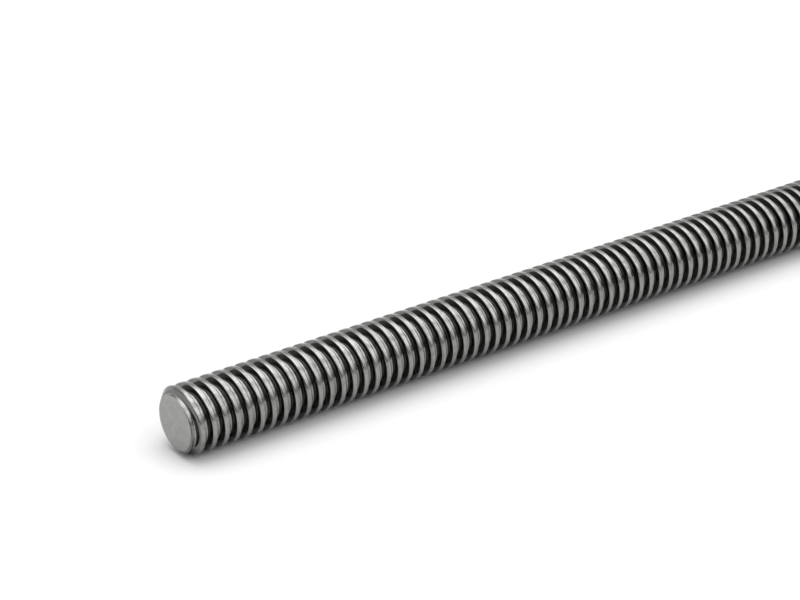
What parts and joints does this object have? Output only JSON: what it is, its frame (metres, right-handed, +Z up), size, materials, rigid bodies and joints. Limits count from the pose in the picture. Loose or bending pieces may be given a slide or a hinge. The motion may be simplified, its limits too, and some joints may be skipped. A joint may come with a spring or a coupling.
{
  "type": "trapezoidal lead screw",
  "caption": "Straight steel bar with a right-hand trapezoidal thread along its whole length, cut square and chamfered at both ends.",
  "frame": {"origin": "centre of the near end face, on the screw's axis", "axes": "+X along the screw's axis to the far end face, +Z up, with the screw lying on its thread crests"},
  "size_m": [0.33, 0.026, 0.026],
  "materials": {
    "steel": "rolled thread, satin, with darker oily grooves"
  },
  "bodies": {
    "root": {"lead_screw": "steel"}
  },
  "joints": []
}
